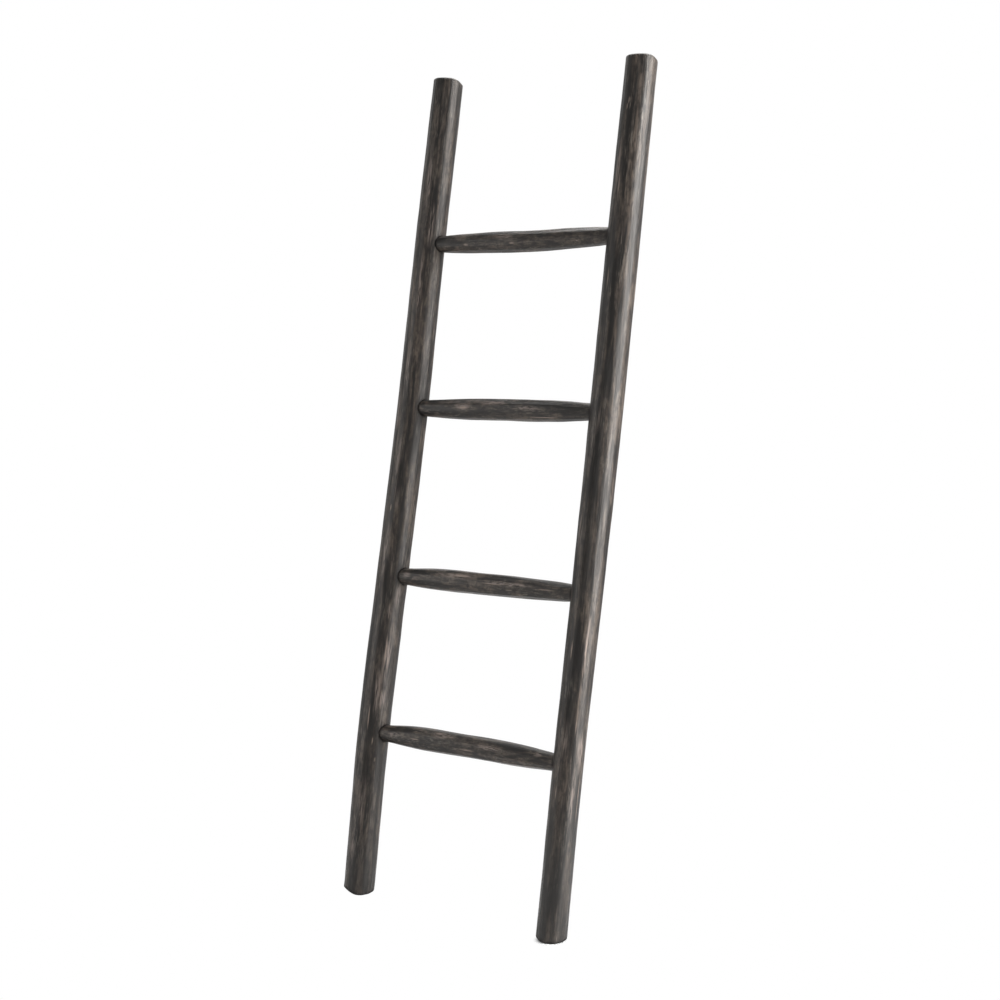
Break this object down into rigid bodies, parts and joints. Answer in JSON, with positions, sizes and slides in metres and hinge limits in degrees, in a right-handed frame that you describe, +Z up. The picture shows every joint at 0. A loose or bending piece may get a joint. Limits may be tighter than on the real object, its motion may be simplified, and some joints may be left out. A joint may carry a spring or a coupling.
{
  "type": "decorative ladder",
  "caption": "Rustic leaning ladder of black-stained wood: round hand-shaped poles joined by barrel-shaped rungs set in blind mortises, for hanging blankets or towels.",
  "frame": {"origin": "on the floor, midway between the centres of the two feet, with the ladder leaning back by 10.7 degrees as it does in use", "axes": "+X along the rungs to the right of someone facing the ladder, +Y towards the wall that it leans on, +Z straight up"},
  "size_m": [0.5099, 0.3539, 1.5722],
  "materials": {
    "stile_wood": "black stain, rubbed back along the grain, satin",
    "rung_wood": "black stain, rubbed back along the grain, satin",
    "peg_wood": "black stain, end grain"
  },
  "bodies": {
    "root": {"left_stile": "stile_wood", "right_stile": "stile_wood", "rung_1": "rung_wood", "rung_2": "rung_wood", "rung_3": "rung_wood", "rung_4": "rung_wood", "left_tenon_pegs": "peg_wood", "right_tenon_pegs": "peg_wood"}
  },
  "joints": []
}
